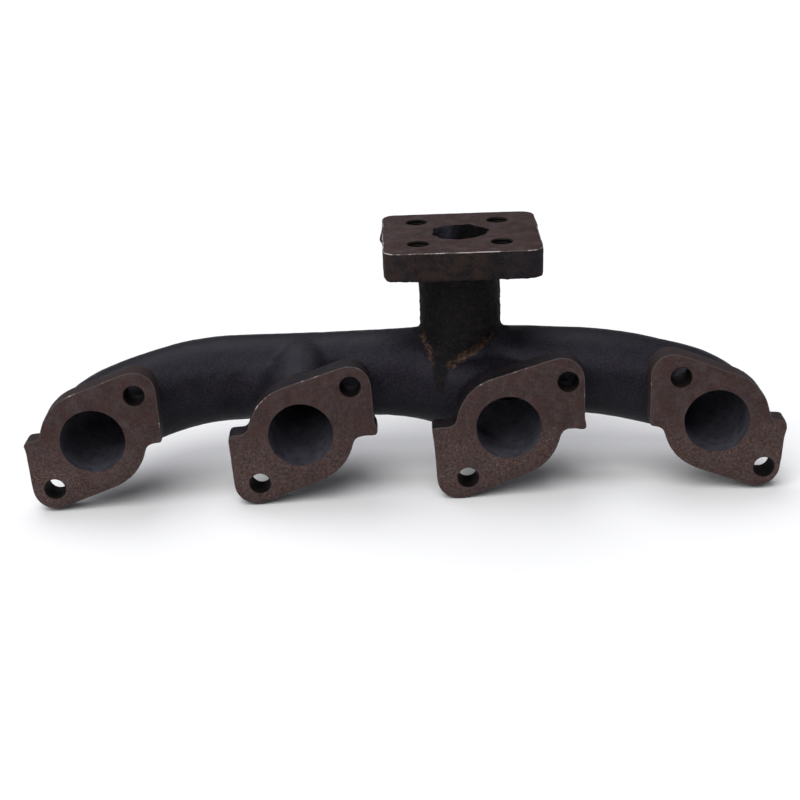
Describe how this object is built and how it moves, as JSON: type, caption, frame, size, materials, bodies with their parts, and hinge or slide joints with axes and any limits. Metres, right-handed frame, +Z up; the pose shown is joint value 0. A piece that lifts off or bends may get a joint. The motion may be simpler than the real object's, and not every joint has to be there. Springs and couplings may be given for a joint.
{
  "type": "exhaust manifold",
  "caption": "Cast-iron exhaust manifold: a row of round ports in two-bolt flanges, runners that sweep into one log, and a riser to a square turbo flange.",
  "frame": {"origin": "middle of the row of port centres, on the joint plane with the cylinder head", "axes": "+X along the row of ports, -Y out of the port faces towards the cylinder head, +Z up towards the turbo joint"},
  "size_m": [0.3372, 0.0782, 0.1109],
  "materials": {
    "cast_iron": "near-black heat-scaled sand-cast iron, with brown, lightly rusted machined joint faces"
  },
  "bodies": {
    "root": {"manifold_casting": "cast_iron"}
  },
  "joints": []
}
